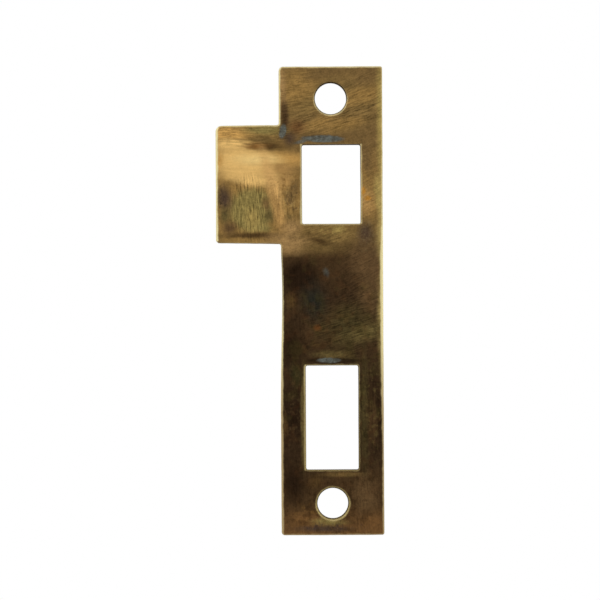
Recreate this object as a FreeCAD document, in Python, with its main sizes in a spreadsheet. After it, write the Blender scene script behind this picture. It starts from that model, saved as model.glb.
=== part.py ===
# Lipped door strike plate, cut and formed from one strip of brass: a flat plate with a lip that
# curves gently back on its left side, a latch opening beside the lip, a taller bolt opening below
# it, and a countersunk screw hole near each end.
#
# Frame: as fixed to a door jamb, in millimetres. +Z is up and +X is right as seen from the front.
# The back face lies on the plane Y = 0 and the front face looks along -Y. The origin is the middle
# of the back face, midway between the two screws.

import FreeCAD, Part
import math
import os

import Sketcher

NODE = "strike_plate"

# Driving dimensions, one cell of the sheet each. Lengths are in millimetres and angles in degrees.
SIZES = {
    "plate_height": 100.0,
    "plate_width": 22.0,
    "plate_thickness": 2.5,
    "latch_from_top": 25.1,
    "latch_opening_width": 12.5,
    "latch_opening_height": 17.0,
    "bolt_from_bottom": 25.0,
    "bolt_opening_width": 11.2,
    "bolt_opening_height": 22.3,
    "lip_height": 25.2,
    "lip_reach": 13.8,
    "lip_flat_run": 1.0,
    "lip_bend_radius": 57.0,
    "screw_from_end": 6.85,
    "screw_hole_diameter": 6.6,
    "countersink_diameter": 7.4,
    "countersink_angle": 90.0,
    "plate_corner_radius": 0.5,
    "worn_corner_radius": 1.0,
    "lip_corner_radius": 1.0,
    "lip_foot_radius": 0.5,
    "lip_root_radius": 0.4,
    "opening_corner_radius": 0.4,
    "front_arris_radius": 0.4,
    "back_arris_radius": 0.2,
}

# Places worked out from the sheet: the middles of the two openings, and the screws' distance apart.
LATCH_CENTRE = "sizes.plate_height / 2 - sizes.latch_from_top"
BOLT_CENTRE = "sizes.bolt_from_bottom - sizes.plate_height / 2"
SCREW_SPACING = "sizes.plate_height - 2 * sizes.screw_from_end"

# Two points closer than this are the same corner of the plate.
SAME_PLACE = 0.01

# How a sketch numbers the points of its geometry, and its own axes and origin.
START, END, CENTRE = range(1, 4)
X_AXIS, Z_AXIS = range(-1, -3, -1)
ORIGIN = (X_AXIS, START)


def make_sheet(doc):
    sheet = doc.addObject("Spreadsheet::Sheet", "sizes")
    for row, (alias, value) in enumerate(SIZES.items(), start=1):
        sheet.set(f"A{row}", alias.replace("_", " "))
        sheet.set(f"B{row}", str(value))
        sheet.setAlias(f"B{row}", alias)
    doc.recompute()
    return sheet


def new_sketch(body, name, plane_role):
    plane = next(item for item in body.Origin.OriginFeatures if item.Role == plane_role)
    sketch = body.newObject("Sketcher::SketchObject", name)
    sketch.AttachmentSupport = [(plane, "")]
    sketch.MapMode = "FlatFace"
    return sketch


def point(x, y):
    return FreeCAD.Vector(x, y, 0)


def relate(sketch, kind, *places):
    sketch.addConstraint(Sketcher.Constraint(kind, *places))


def dimension(sketch, name, expression, kind, *places):
    """Add a named dimension and bind it to the sheet."""
    value = float(sketch.evalExpression(expression))
    index = sketch.addConstraint(Sketcher.Constraint(kind, *places, value))
    sketch.renameConstraint(index, name)
    sketch.setExpression(f"Constraints.{name}", expression)


def add_rectangle(sketch, name, width, height, centre=None):
    """Draw a rectangle centred across the plate, with its middle at the height that centre names."""
    half_width = sketch.evalExpression(width) / 2
    half_height = sketch.evalExpression(height) / 2
    middle = sketch.evalExpression(centre) if centre else 0.0
    corners = [
        point(-half_width, middle - half_height),
        point(half_width, middle - half_height),
        point(half_width, middle + half_height),
        point(-half_width, middle + half_height),
    ]
    bottom, right, top, left = [
        sketch.addGeometry(Part.LineSegment(corners[i], corners[(i + 1) % 4]), False) for i in range(4)
    ]
    for side, following in ((bottom, right), (right, top), (top, left), (left, bottom)):
        relate(sketch, "Coincident", side, END, following, START)
    for level in (bottom, top):
        relate(sketch, "Horizontal", level)
    for upright in (right, left):
        relate(sketch, "Vertical", upright)
    if centre:
        mark = sketch.addGeometry(Part.Point(point(0, middle)), True)
        relate(sketch, "PointOnObject", mark, START, Z_AXIS)
        dimension(sketch, f"{name}_centre", centre, "DistanceY", *ORIGIN, mark, START)
        relate(sketch, "Symmetric", bottom, START, top, START, mark, START)
    else:
        relate(sketch, "Symmetric", bottom, START, top, START, *ORIGIN)
    dimension(sketch, f"{name}_width", width, "DistanceX", bottom, START, bottom, END)
    dimension(sketch, f"{name}_height", height, "DistanceY", right, START, right, END)


def pad(body, name, sketch, length, side_type="One side"):
    feature = body.newObject("PartDesign::Pad", name)
    feature.Profile = sketch
    feature.SideType = side_type
    feature.setExpression("Length", length)
    body.Document.recompute()
    return feature


def flat_plate(body):
    sketch = new_sketch(body, "plate_outline", "XZ_Plane")
    add_rectangle(sketch, "plate", "sizes.plate_width", "sizes.plate_height")
    return pad(body, "flat_plate", sketch, "sizes.plate_thickness")


def curved_lip(body, sheet):
    """Pad the lip's section: a short flat run across the plate's side, then an arc curving back."""
    side = -sheet.plate_width / 2
    thick = sheet.plate_thickness
    root = side + sheet.lip_flat_run
    bend = side - sheet.lip_flat_run
    radius = sheet.lip_bend_radius
    sweep = math.asin((sheet.lip_reach - sheet.lip_flat_run) / radius)
    middle = point(bend, radius - thick)
    facing_front = 1.5 * math.pi
    outward = point(-math.sin(sweep), -math.cos(sweep))

    def arc(arc_radius):
        circle = Part.Circle(middle, FreeCAD.Vector(0, 0, 1), arc_radius)
        return Part.ArcOfCircle(circle, facing_front - sweep, facing_front)

    sketch = new_sketch(body, "lip_section", "XY_Plane")
    sketch.setExpression("AttachmentOffset.Base.z", LATCH_CENTRE)
    front_run = sketch.addGeometry(Part.LineSegment(point(root, -thick), point(bend, -thick)), False)
    front_arc = sketch.addGeometry(arc(radius), False)
    tip = sketch.addGeometry(
        Part.LineSegment(middle + outward * radius, middle + outward * (radius - thick)), False
    )
    back_arc = sketch.addGeometry(arc(radius - thick), False)
    back_run = sketch.addGeometry(Part.LineSegment(point(bend, 0), point(root, 0)), False)
    lap = sketch.addGeometry(Part.LineSegment(point(root, 0), point(root, -thick)), False)

    relate(sketch, "Tangent", front_run, END, front_arc, END)
    relate(sketch, "Coincident", front_arc, START, tip, START)
    relate(sketch, "Coincident", tip, END, back_arc, START)
    relate(sketch, "Tangent", back_arc, END, back_run, START)
    relate(sketch, "Coincident", back_run, END, lap, START)
    relate(sketch, "Coincident", lap, END, front_run, START)
    relate(sketch, "Coincident", front_arc, CENTRE, back_arc, CENTRE)
    relate(sketch, "PointOnObject", front_arc, CENTRE, tip)
    relate(sketch, "Horizontal", front_run)
    relate(sketch, "Horizontal", back_run)
    relate(sketch, "Vertical", lap)
    relate(sketch, "PointOnObject", lap, START, X_AXIS)
    dimension(sketch, "thickness", "sizes.plate_thickness", "DistanceY", lap, END, lap, START)
    dimension(sketch, "bend_radius", "sizes.lip_bend_radius", "Radius", front_arc)
    for name, edge, reach in (
        ("lap_reach", lap, "sizes.plate_width / 2 - sizes.lip_flat_run"),
        ("bend_reach", back_run, "sizes.plate_width / 2 + sizes.lip_flat_run"),
        ("tip_reach", tip, "sizes.plate_width / 2 + sizes.lip_reach"),
    ):
        dimension(sketch, name, reach, "DistanceX", edge, START, *ORIGIN)
    return pad(body, "curved_lip", sketch, "sizes.lip_height", "Symmetric")


def check_cut(feature, volume_before):
    if not 0 < feature.Shape.Volume < volume_before:
        raise RuntimeError(f"{feature.Name} cuts nothing")


def latch_and_bolt_openings(body):
    volume_before = body.Shape.Volume
    sketch = new_sketch(body, "opening_outlines", "XZ_Plane")
    for name, centre in (("latch", LATCH_CENTRE), ("bolt", BOLT_CENTRE)):
        width = f"sizes.{name}_opening_width"
        height = f"sizes.{name}_opening_height"
        add_rectangle(sketch, name, width, height, centre)
    pocket = body.newObject("PartDesign::Pocket", "latch_and_bolt_openings")
    pocket.Profile = sketch
    pocket.Type = "ThroughAll"
    pocket.SideType = "Symmetric"
    body.Document.recompute()
    check_cut(pocket, volume_before)


def screw_holes(body):
    """Drill both holes from the front face, each with a shallow countersink."""
    volume_before = body.Shape.Volume
    sketch = new_sketch(body, "screw_centres", "XZ_Plane")
    sketch.setExpression("AttachmentOffset.Base.z", "sizes.plate_thickness")
    body.Document.recompute()
    half_spacing = sketch.evalExpression(SCREW_SPACING) / 2
    radius = sketch.evalExpression("sizes.screw_hole_diameter") / 2
    upper, lower = [
        sketch.addGeometry(Part.Circle(point(0, height), FreeCAD.Vector(0, 0, 1), radius), False)
        for height in (half_spacing, -half_spacing)
    ]
    relate(sketch, "PointOnObject", upper, CENTRE, Z_AXIS)
    relate(sketch, "Symmetric", upper, CENTRE, lower, CENTRE, *ORIGIN)
    relate(sketch, "Equal", upper, lower)
    dimension(sketch, "spacing", SCREW_SPACING, "DistanceY", lower, CENTRE, upper, CENTRE)
    dimension(sketch, "hole", "sizes.screw_hole_diameter", "Diameter", upper)
    body.Document.recompute()

    hole = body.newObject("PartDesign::Hole", "screw_holes")
    hole.Profile = sketch
    body.Document.recompute()
    hole.DepthType = "ThroughAll"
    hole.HoleCutType = "Countersink"
    hole.HoleCutCustomValues = True
    hole.setExpression("Diameter", "sizes.screw_hole_diameter")
    hole.setExpression("HoleCutDiameter", "sizes.countersink_diameter")
    hole.setExpression("HoleCutCountersinkAngle", "sizes.countersink_angle")
    body.Document.recompute()
    check_cut(hole, volume_before)


class PlateEdges:
    """Finds edges of the plate by where they lie: how far below the front face, and in plan."""

    def __init__(self, sheet):
        self.sheet = sheet
        self.bend = -sheet.plate_width / 2 - sheet.lip_flat_run

    def depth(self, place):
        """Distance below the front face, which follows the lip's curve beyond the bend."""
        sheet = self.sheet
        if place.x >= self.bend:
            return place.y + sheet.plate_thickness
        middle = sheet.lip_bend_radius - sheet.plate_thickness
        return sheet.lip_bend_radius - math.hypot(place.x - self.bend, place.y - middle)

    def depths(self, edge):
        places = [vertex.Point for vertex in edge.Vertexes]
        places.append(edge.valueAt((edge.FirstParameter + edge.LastParameter) / 2))
        return [self.depth(place) for place in places]

    def through(self, edge):
        """True for an edge that runs from the front face to the back face."""
        depths = self.depths(edge)
        return abs(max(depths) - min(depths) - self.sheet.plate_thickness) < SAME_PLACE

    def on_face(self, edge, depth):
        """True for an edge in the front or back face, other than the line where the lip bends."""
        box = edge.BoundBox
        bend_line = abs(box.XMin - self.bend) < SAME_PLACE and box.XLength < SAME_PLACE
        return not bend_line and all(abs(each - depth) < SAME_PLACE for each in self.depths(edge))

    def plan_corner(self, edge):
        """Name the corner of the outline that a through edge stands at."""
        sheet = self.sheet
        place = edge.CenterOfMass
        at_side = abs(abs(place.x) - sheet.plate_width / 2) < SAME_PLACE
        at_end = abs(abs(place.z) - sheet.plate_height / 2) < SAME_PLACE
        if place.x < self.bend:
            middle = sheet.plate_height / 2 - sheet.latch_from_top
            return "lip_corner" if place.z > middle else "lip_foot"
        if at_side and at_end:
            return "worn_corner" if place.x < 0 and place.z < 0 else "plate_corner"
        return "lip_root" if at_side else "opening_corner"


def fillet(body, name, radius, wanted):
    """Round the edges of the body's present shape that wanted accepts."""
    base = body.Tip
    names = [f"Edge{i}" for i, edge in enumerate(base.Shape.Edges, start=1) if wanted(edge)]
    if not names:
        raise RuntimeError(f"{name} finds no edges")
    feature = body.newObject("PartDesign::Fillet", name)
    feature.Base = (base, names)
    feature.setExpression("Radius", radius)
    body.Document.recompute()


def round_corners(body, edges):
    for corner in ("plate_corner", "worn_corner", "lip_corner", "lip_foot", "lip_root", "opening_corner"):
        fillet(
            body,
            f"{corner}_rounding",
            f"sizes.{corner}_radius",
            lambda edge: edges.through(edge) and edges.plan_corner(edge) == corner,
        )


def ease_arrises(body, edges):
    thickness = edges.sheet.plate_thickness
    fillet(body, "front_arris", "sizes.front_arris_radius", lambda edge: edges.on_face(edge, 0))
    fillet(body, "back_arris", "sizes.back_arris_radius", lambda edge: edges.on_face(edge, thickness))


def strike_plate(doc, sheet):
    body = doc.addObject("PartDesign::Body", NODE)
    body.Label = NODE
    body.Placement = FreeCAD.Placement()
    edges = PlateEdges(sheet)
    flat_plate(body)
    curved_lip(body, sheet)
    latch_and_bolt_openings(body)
    round_corners(body, edges)
    ease_arrises(body, edges)
    screw_holes(body)
    return body


def check(doc, body):
    for item in doc.Objects:
        if "Invalid" in item.State or "Error" in item.State:
            raise RuntimeError(f"{item.Name} failed: {item.State}")
    shape = body.Shape
    if shape.isNull() or not shape.isValid() or len(shape.Solids) != 1:
        raise RuntimeError(f"{body.Label} is not one valid solid")


def main():
    doc = FreeCAD.newDocument(NODE)
    sheet = make_sheet(doc)
    body = strike_plate(doc, sheet)
    doc.recompute()
    check(doc, body)
    os.makedirs("parts", exist_ok=True)
    body.Shape.exportStep(f"parts/{body.Label}.step")
    box = body.Shape.BoundBox
    print(f"{body.Label}: {body.Shape.Volume:.1f} mm3, {box}")


main()
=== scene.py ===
import math
from collections import namedtuple

import bpy
import numpy as np
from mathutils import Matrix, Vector, geometry, kdtree, noise


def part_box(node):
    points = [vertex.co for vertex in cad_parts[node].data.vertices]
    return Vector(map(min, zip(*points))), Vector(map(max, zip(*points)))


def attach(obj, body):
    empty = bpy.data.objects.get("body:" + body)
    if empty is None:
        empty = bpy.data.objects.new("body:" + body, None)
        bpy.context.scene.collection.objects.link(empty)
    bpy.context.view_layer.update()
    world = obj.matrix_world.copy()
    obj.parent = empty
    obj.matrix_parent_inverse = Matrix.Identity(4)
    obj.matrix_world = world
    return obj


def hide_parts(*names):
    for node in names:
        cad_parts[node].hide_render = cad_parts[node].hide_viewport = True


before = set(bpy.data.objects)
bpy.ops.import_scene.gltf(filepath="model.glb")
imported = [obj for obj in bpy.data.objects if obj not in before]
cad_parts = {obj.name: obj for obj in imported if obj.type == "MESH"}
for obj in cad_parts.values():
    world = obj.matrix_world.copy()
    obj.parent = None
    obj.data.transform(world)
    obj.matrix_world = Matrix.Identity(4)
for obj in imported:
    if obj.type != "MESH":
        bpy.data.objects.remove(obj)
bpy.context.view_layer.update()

# Sizes of the plate in millimetres. The overall ones come from the frame.
MM = 0.001
plate_low, plate_high = (np.array(corner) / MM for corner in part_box("strike_plate"))
HALF_WIDTH = plate_high[0]
HALF_HEIGHT = plate_high[2]
THICKNESS = -plate_low[1]
LIP_CENTRE = HALF_HEIGHT - 25.1
LIP_HEIGHT = 25.2
LIP_TOP = LIP_CENTRE + LIP_HEIGHT / 2
LIP_BOTTOM = LIP_CENTRE - LIP_HEIGHT / 2
LIP_REACH = 13.74
LIP_FLAT_RUN = 1.0
LIP_BEND_RADIUS = 57.0
BEND_LINE = -HALF_WIDTH - LIP_FLAT_RUN
COUNTERSINK_WIDTH = 0.4
PLATE_CORNER = 0.5
SHOULDER_CORNER = 1.05
WORN_CORNER = 0.8
LIP_CORNER = 1.35
LIP_FOOT = 0.6
LIP_ROOT = 0.4
OPENING_CORNER = 0.4
FRONT_ARRIS = 0.32
BACK_ARRIS = 0.2

# Openings by middle, width and height, and screw holes by middle and radius. Hand work has left them
# slightly off the centre line and the holes unequal.
Opening = namedtuple("Opening", "x z width height")
LATCH_OPENING = Opening(0.0, HALF_HEIGHT - 25.2, 12.5, 16.88)
BOLT_OPENING = Opening(-0.03, 25.05 - HALF_HEIGHT, 11.2, 22.25)
Hole = namedtuple("Hole", "x z radius")
SCREW_HOLES = (Hole(-0.06, HALF_HEIGHT - 6.9, 3.36), Hole(0.0, 6.78 - HALF_HEIGHT, 3.28))

# The top is filed a little short, the left side stands out a little above the lip, and the lip's lower edge
# lies low and falls towards the plate.
TOP_FILED = 0.05
SHOULDER_OUT = 0.17
LIP_LOW = 0.08
LIP_FALL = 0.3

# How finely the metal is divided, in millimetres and in steps round an edge.
EDGE_STEP = 0.3
CORNER_STEPS = 8
HOLE_STEPS = 72
FRONT_GRID = 0.32
BACK_GRID = 0.9
FRONT_ARRIS_STEPS = 6
BACK_ARRIS_STEPS = 3
WALL_STEPS = 4

# For triangles: how far inner points keep from an edge, in grid steps, which triangles are kept, and how
# close two points count as one.
CLEAR_OF_RIM = 0.6
INSIDE_EDGES = 1
MERGE_DISTANCE = 1e-6

# Hand work and wear: how far filed edges wander, how unevenly the arris is worn, and how far the front face
# is from flat. Each has its amount, the length over which it changes and its noise's seed.
Unevenness = namedtuple("Unevenness", "amount length seed")
EDGE_WANDER = Unevenness(0.06, 9.0, 7.0)
EDGE_NICKS = Unevenness(0.04, 1.3, 5.0)
ARRIS_WEAR = Unevenness(0.3, 2.5, 3.0)
FACE_WAVE = Unevenness(0.03, 16.0, 11.0)

# The level of noise at which the arris has its drawn width.
ARRIS_AS_DRAWN = 0.7

# The left side is filed slightly hollow below the lip.
WAIST_DEPTH = 0.38
WAIST_HEIGHT = 0.5
WAIST_SPREAD = 12.0

# Places are x to the right and z up, in millimetres from the plate's middle.
Oval = namedtuple("Oval", "x z half_long half_high turn")

# Shallow hollows in the front face that hold residue, a small pit, and their depths.
LATCH_HOLLOW = Oval(-1.8, 34.5, 4.2, 0.74, -1)
LATCH_TAIL = Oval(-6.1, 34.0, 1.7, 0.36, 14)
LIP_ROOT_HOLLOW = Oval(-10.3, 36.1, 0.72, 1.45, -8)
BOLT_HOLLOW = Oval(0.2, -12.8, 5.6, 0.55, 0)
SMALL_PIT = Oval(-5.2, -9.95, 0.4, 0.4, 0)
HOLLOW_DEPTHS = {
    LATCH_HOLLOW: 0.16,
    LATCH_TAIL: 0.08,
    LIP_ROOT_HOLLOW: 0.12,
    BOLT_HOLLOW: 0.2,
    SMALL_PIT: 0.12,
}

# Below 1 a hollow has a flatter floor and steeper sides.
HOLLOW_FULLNESS = 0.8

# How bright and wide edges are rubbed, with painted highlight on the sides, by height: the left side below
# the lip, the lip's tip, the right side, and the left sides of the openings.
LEFT_RUBBING_AND_HIGHLIGHT = ((-30, 1.3), (-18, 1.3), (-8, 0.9), (6, 0.4))
TIP_RUBBING_AND_HIGHLIGHT = ((16, 1.6), (19, 1.2), (23, 1.2), (26, 1.6))
RIGHT_RUBBING_AND_HIGHLIGHT = ((-30, 0.9), (-22, 1.5), (-10, 1.9), (10, 1.9), (16, 0.9), (20, 0.6), (40, 0.3))
OPENING_LEFT_RUBBING_AND_HIGHLIGHT = ((-30, 1.3), (-20, 1.0), (0, 1.2), (18, 1.2), (24, 0.8))

# The same where it hardly changes with height.
ENDS_RUBBING = 0.6
SHOULDER_RUBBING = 0.9
LIP_FOOT_RUBBING = 1.5
# The lip's underside and the latch opening's top face down and are kept dark as painted shade.
LIP_UNDERSIDE_RUBBING_AND_SHADE = 0.15
LATCH_RUBBING = 0.8
LATCH_CORNER_RUBBING = 1.2
LATCH_TOP_RUBBING_AND_SHADE = 0.1
BOLT_RUBBING = 0.5
OPENING_FOOT_RUBBING = 0.5

# The same round the screw holes, with painted highlight at the foot: at the sides, how much more at the
# foot, and the least and the most.
UPPER_HOLE_RUBBING_AND_HIGHLIGHT = (0.5, 0.45, 0.1, 0.85)
LOWER_HOLE_RUBBING_AND_HIGHLIGHT = (1.1, 0.3, 0.8, 1.4)

# How far the rubbing of the lip's lower corner reaches.
LIP_FOOT_SIZE = 1.0

# How squarely an edge faces a way, of 1, to count as a side, underside or foot, as an opening's side, and as
# the latch opening's corner and top.
FACING = 0.7
OPENING_SIDE_FACING = 0.5
LATCH_CORNER_FACING = 0.2
LATCH_TOP_FACING = 0.8


def unit(direction):
    return direction / np.linalg.norm(direction)


def rounded_loop(corners):
    """Follow a closed outline of square corners, each rounded to its own radius, with the metal on the
    left. Return points and, at each of them, the direction into the metal."""
    points, inward = [], []
    count = len(corners)
    for i in range(count):
        before, here, after = (np.array(corners[(i + k) % count][:2], float) for k in (-1, 0, 1))
        last_radius = corners[i - 1][2]
        radius = corners[i][2]
        arriving = unit(here - before)
        leaving = unit(after - here)
        left = np.array([-arriving[1], arriving[0]])
        turning_left = arriving[0] * leaving[1] - arriving[1] * leaving[0] > 0
        towards = left if turning_left else -left
        run_start = before + arriving * last_radius
        run_end = here - arriving * radius
        steps = max(1, round(np.linalg.norm(run_end - run_start) / EDGE_STEP))
        for k in range(steps):
            points.append(run_start + (run_end - run_start) * k / steps)
            inward.append(left)
        for k in range(CORNER_STEPS):
            angle = math.pi / 2 * k / CORNER_STEPS
            spoke = arriving * math.sin(angle) - towards * math.cos(angle)
            points.append(run_end + towards * radius + spoke * radius)
            inward.append(-spoke if turning_left else spoke)
    return np.array(points), np.array(inward)


def hole_loop(hole):
    angles = -np.arange(HOLE_STEPS) * 2 * math.pi / HOLE_STEPS
    spokes = np.stack([np.cos(angles), np.sin(angles)], axis=1)
    return spokes * hole.radius + (hole.x, hole.z), spokes


def opening_corners(opening):
    left, right = opening.x - opening.width / 2, opening.x + opening.width / 2
    low, high = opening.z - opening.height / 2, opening.z + opening.height / 2
    corners = [(left, low), (left, high), (right, high), (right, low)]
    return [(x, z, OPENING_CORNER) for x, z in corners]


def plate_corners():
    top = HALF_HEIGHT - TOP_FILED
    lip_low = LIP_BOTTOM - LIP_LOW
    shoulder = -HALF_WIDTH - SHOULDER_OUT
    lip_arc = LIP_BEND_RADIUS * math.asin((LIP_REACH - LIP_FLAT_RUN) / LIP_BEND_RADIUS)
    lip_tip = BEND_LINE - lip_arc
    return [
        (-HALF_WIDTH, -HALF_HEIGHT, WORN_CORNER),
        (HALF_WIDTH, -HALF_HEIGHT, PLATE_CORNER),
        (HALF_WIDTH, top, PLATE_CORNER),
        (shoulder, top, SHOULDER_CORNER),
        (shoulder, LIP_TOP, LIP_ROOT),
        (lip_tip, LIP_TOP, LIP_CORNER),
        (lip_tip, lip_low + LIP_FALL / 2, LIP_FOOT),
        (-HALF_WIDTH, lip_low - LIP_FALL / 2, LIP_ROOT),
    ]


def wander(points, kind, level=0.0):
    """Smooth noise from 0 to 1 at each plan point, less a level, times the amount of its kind."""
    places = [Vector((*(point / kind.length), kind.seed)) for point in points]
    return kind.amount * (np.array([0.5 + 0.5 * noise.noise(place) for place in places]) - level)


def outer_wander(points, inward):
    """How far the outer edge lies inside its drawn outline."""
    waist = WAIST_DEPTH * np.exp(-(((points[:, 1] - WAIST_HEIGHT) / WAIST_SPREAD) ** 2))
    below_lip = (points[:, 1] < LIP_BOTTOM + LIP_ROOT) & (points[:, 0] < 0)
    filed = wander(points, EDGE_WANDER) + wander(points, EDGE_NICKS)
    return filed + np.where(below_lip, waist * np.clip(inward[:, 0], 0, 1), 0)


def pierced_wander(points, inward):
    """How far the edge of an opening or hole lies from its drawn outline."""
    return wander(points, EDGE_WANDER, level=0.5)


def by_height(heights, rubbing):
    """Read a list of heights and strengths at each height."""
    return np.interp(heights, *zip(*rubbing))


def outer_rubbing_and_highlight(points, inward):
    """How bright and wide the outer edge is rubbed and painted with highlight: most at the lip's tip and the
    right side.
    """
    height = points[:, 1]
    left = inward[:, 0] > FACING
    right = inward[:, 0] < -FACING
    on_tip = left & (height > LIP_BOTTOM + LIP_ROOT)
    at_tip = points[:, 0] < LIP_FOOT_SIZE - HALF_WIDTH - LIP_REACH
    rubbed = np.full(len(points), ENDS_RUBBING)
    rubbed[left] = by_height(height[left], LEFT_RUBBING_AND_HIGHLIGHT)
    rubbed[on_tip] = by_height(height[on_tip], TIP_RUBBING_AND_HIGHLIGHT)
    rubbed[at_tip & (height < LIP_BOTTOM + LIP_FOOT_SIZE)] = LIP_FOOT_RUBBING
    rubbed[left & (height > LIP_TOP)] = SHOULDER_RUBBING
    rubbed[right] = by_height(height[right], RIGHT_RUBBING_AND_HIGHLIGHT)
    rubbed[(inward[:, 1] > FACING) & (height > 0)] = LIP_UNDERSIDE_RUBBING_AND_SHADE
    return rubbed


def opening_rubbing_and_highlight(points, inward):
    """The same round an opening: its sides are rubbed and painted with highlight, the top of the latch
    opening hardly, as painted shade.
    """
    in_latch = points[:, 1] > 0
    left = inward[:, 0] < -OPENING_SIDE_FACING
    rubbed = np.where(in_latch, LATCH_RUBBING, BOLT_RUBBING)
    rubbed[left] = by_height(points[left, 1], OPENING_LEFT_RUBBING_AND_HIGHLIGHT)
    rubbed[in_latch & (inward[:, 1] > LATCH_CORNER_FACING)] = LATCH_CORNER_RUBBING
    rubbed[in_latch & (inward[:, 1] > LATCH_TOP_FACING)] = LATCH_TOP_RUBBING_AND_SHADE
    rubbed[inward[:, 1] < -FACING] = OPENING_FOOT_RUBBING
    return rubbed


def hole_rubbing_and_highlight(points, inward):
    """The same round a screw hole, rubbed and painted with highlight: most at its foot, and the lower hole
    all round.
    """
    upper, lower = (
        np.clip(sides - foot * inward[:, 1], least, most)
        for sides, foot, least, most in (UPPER_HOLE_RUBBING_AND_HIGHLIGHT, LOWER_HOLE_RUBBING_AND_HIGHLIGHT)
    )
    return np.where(points[:, 1] > 0, upper, lower)


def arris_profile(points):
    """Offsets into the metal and depths below the front face, ring by ring, down a filed edge."""
    front = FRONT_ARRIS * (1 + wander(points, ARRIS_WEAR, ARRIS_AS_DRAWN))
    offsets, depths = [], []
    for k in range(FRONT_ARRIS_STEPS + 1):
        angle = math.pi / 2 * k / FRONT_ARRIS_STEPS
        offsets.append(front * (1 - math.sin(angle)))
        depths.append(front * (1 - math.cos(angle)))
    for k in range(1, WALL_STEPS):
        offsets.append(front * 0)
        depths.append(front + (THICKNESS - BACK_ARRIS - front) * k / WALL_STEPS)
    for k in range(BACK_ARRIS_STEPS + 1):
        angle = math.pi / 2 * k / BACK_ARRIS_STEPS
        offsets.append(BACK_ARRIS * (1 - math.cos(angle)) + front * 0)
        depths.append(THICKNESS - BACK_ARRIS * (1 - math.sin(angle)) + front * 0)
    return np.array(offsets), np.array(depths)


def countersink_profile(points):
    """The same down a screw hole: an eased rim, a cone, the drilled wall and an eased back edge."""
    cone = COUNTERSINK_WIDTH
    # Offset from the drilled wall and depth, from the front to the back.
    rings = [
        (cone + 0.14, 0.0),
        (cone + 0.06, 0.015),
        (cone - 0.02, 0.06),
        (cone * 0.5, cone * 0.52),
        (0.04, cone - 0.01),
        (0.0, cone + 0.07),
        (0.0, THICKNESS * 0.5),
        (0.0, THICKNESS - 0.10),
        (0.03, THICKNESS - 0.03),
        (0.10, THICKNESS),
    ]
    even = np.ones(len(points))
    return np.array([offset * even for offset, _ in rings]), np.array([depth * even for _, depth in rings])


def inside(points, loops):
    """Even-odd test of plan points against closed loops."""
    crossings = np.zeros(len(points), int)
    for loop in loops:
        for (x0, z0), (x1, z1) in zip(loop, np.roll(loop, -1, axis=0)):
            if z0 == z1:
                continue
            spans = (points[:, 1] >= min(z0, z1)) & (points[:, 1] < max(z0, z1))
            reach = x0 + (points[:, 1] - z0) * (x1 - x0) / (z1 - z0)
            crossings += spans & (points[:, 0] < reach)
    return crossings % 2 == 1


def fill_face(loops, grid):
    """Triangulate the metal between closed plan loops. Return the inner points that were added on a grid
    and the triangles, whose numbers count the loops' points first."""
    rim = np.concatenate(loops)
    low, high = rim.min(axis=0), rim.max(axis=0)
    across, up = np.meshgrid(np.arange(low[0], high[0], grid), np.arange(low[1], high[1], grid))
    across[1::2] += grid / 2
    inner = np.stack([across.ravel(), up.ravel()], axis=1)
    inner = inner[inside(inner, loops)]
    tree = kdtree.KDTree(len(rim))
    for i, (x, z) in enumerate(rim):
        tree.insert((x, z, 0), i)
    tree.balance()
    clear = [tree.find((x, z, 0))[2] > grid * CLEAR_OF_RIM for x, z in inner]
    inner = inner[np.array(clear)]
    edges = []
    first = 0
    for loop in loops:
        count = len(loop)
        edges += [(first + k, first + (k + 1) % count) for k in range(count)]
        first += count
    places = [Vector(point) for point in np.concatenate([rim, inner])]
    made = geometry.delaunay_2d_cdt(places, edges, [], INSIDE_EDGES, MERGE_DISTANCE)
    corners, sources = made[2:4]
    triangles = np.array([ids[0] for ids in sources])[np.array(corners)]
    middles = np.array(places)[triangles].mean(axis=1)
    return inner, triangles[inside(middles, loops)].tolist()


def hollow_depth(points):
    """How far the front face is sunk at each plan point, by its hollows and its gentle waves."""
    depth = wander(points, FACE_WAVE)
    for oval, most in HOLLOW_DEPTHS.items():
        turn = math.radians(oval.turn)
        x, z = points[:, 0] - oval.x, points[:, 1] - oval.z
        along = (x * math.cos(turn) + z * math.sin(turn)) / oval.half_long
        over = (z * math.cos(turn) - x * math.sin(turn)) / oval.half_high
        depth += most * np.clip(1 - along**2 - over**2, 0, 1) ** HOLLOW_FULLNESS
    return depth


def bend(points, depths):
    """Place plan points at their depth below the front face, with the lip curved back."""
    beyond = np.maximum(BEND_LINE - points[:, 0], 0)
    angle = beyond / LIP_BEND_RADIUS
    radius = LIP_BEND_RADIUS - depths
    x = np.where(beyond > 0, BEND_LINE - radius * np.sin(angle), points[:, 0])
    y = LIP_BEND_RADIUS - THICKNESS - radius * np.cos(angle)
    return np.stack([x, y, points[:, 1]], axis=1)


# Depths at which dirt and painted shade start on the outer edge, in an opening and in a screw hole.
OUTER_DIRT_AND_SHADE = 0.25
OPENING_DIRT_AND_SHADE = 0.06
HOLE_DIRT_AND_SHADE = 0.15

Outline = namedtuple("Outline", "points inward wander profile rubbing dirt_depth")


def plate_outlines():
    outer = Outline(
        *rounded_loop(plate_corners()), outer_wander, arris_profile, outer_rubbing_and_highlight, OUTER_DIRT_AND_SHADE
    )
    opening_wear = (pierced_wander, arris_profile, opening_rubbing_and_highlight, OPENING_DIRT_AND_SHADE)
    openings = [
        Outline(*rounded_loop(opening_corners(opening)), *opening_wear)
        for opening in (LATCH_OPENING, BOLT_OPENING)
    ]
    holes = [
        Outline(*hole_loop(hole), pierced_wander, countersink_profile, hole_rubbing_and_highlight, HOLE_DIRT_AND_SHADE)
        for hole in SCREW_HOLES
    ]
    return [outer, *openings, *holes]


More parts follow.
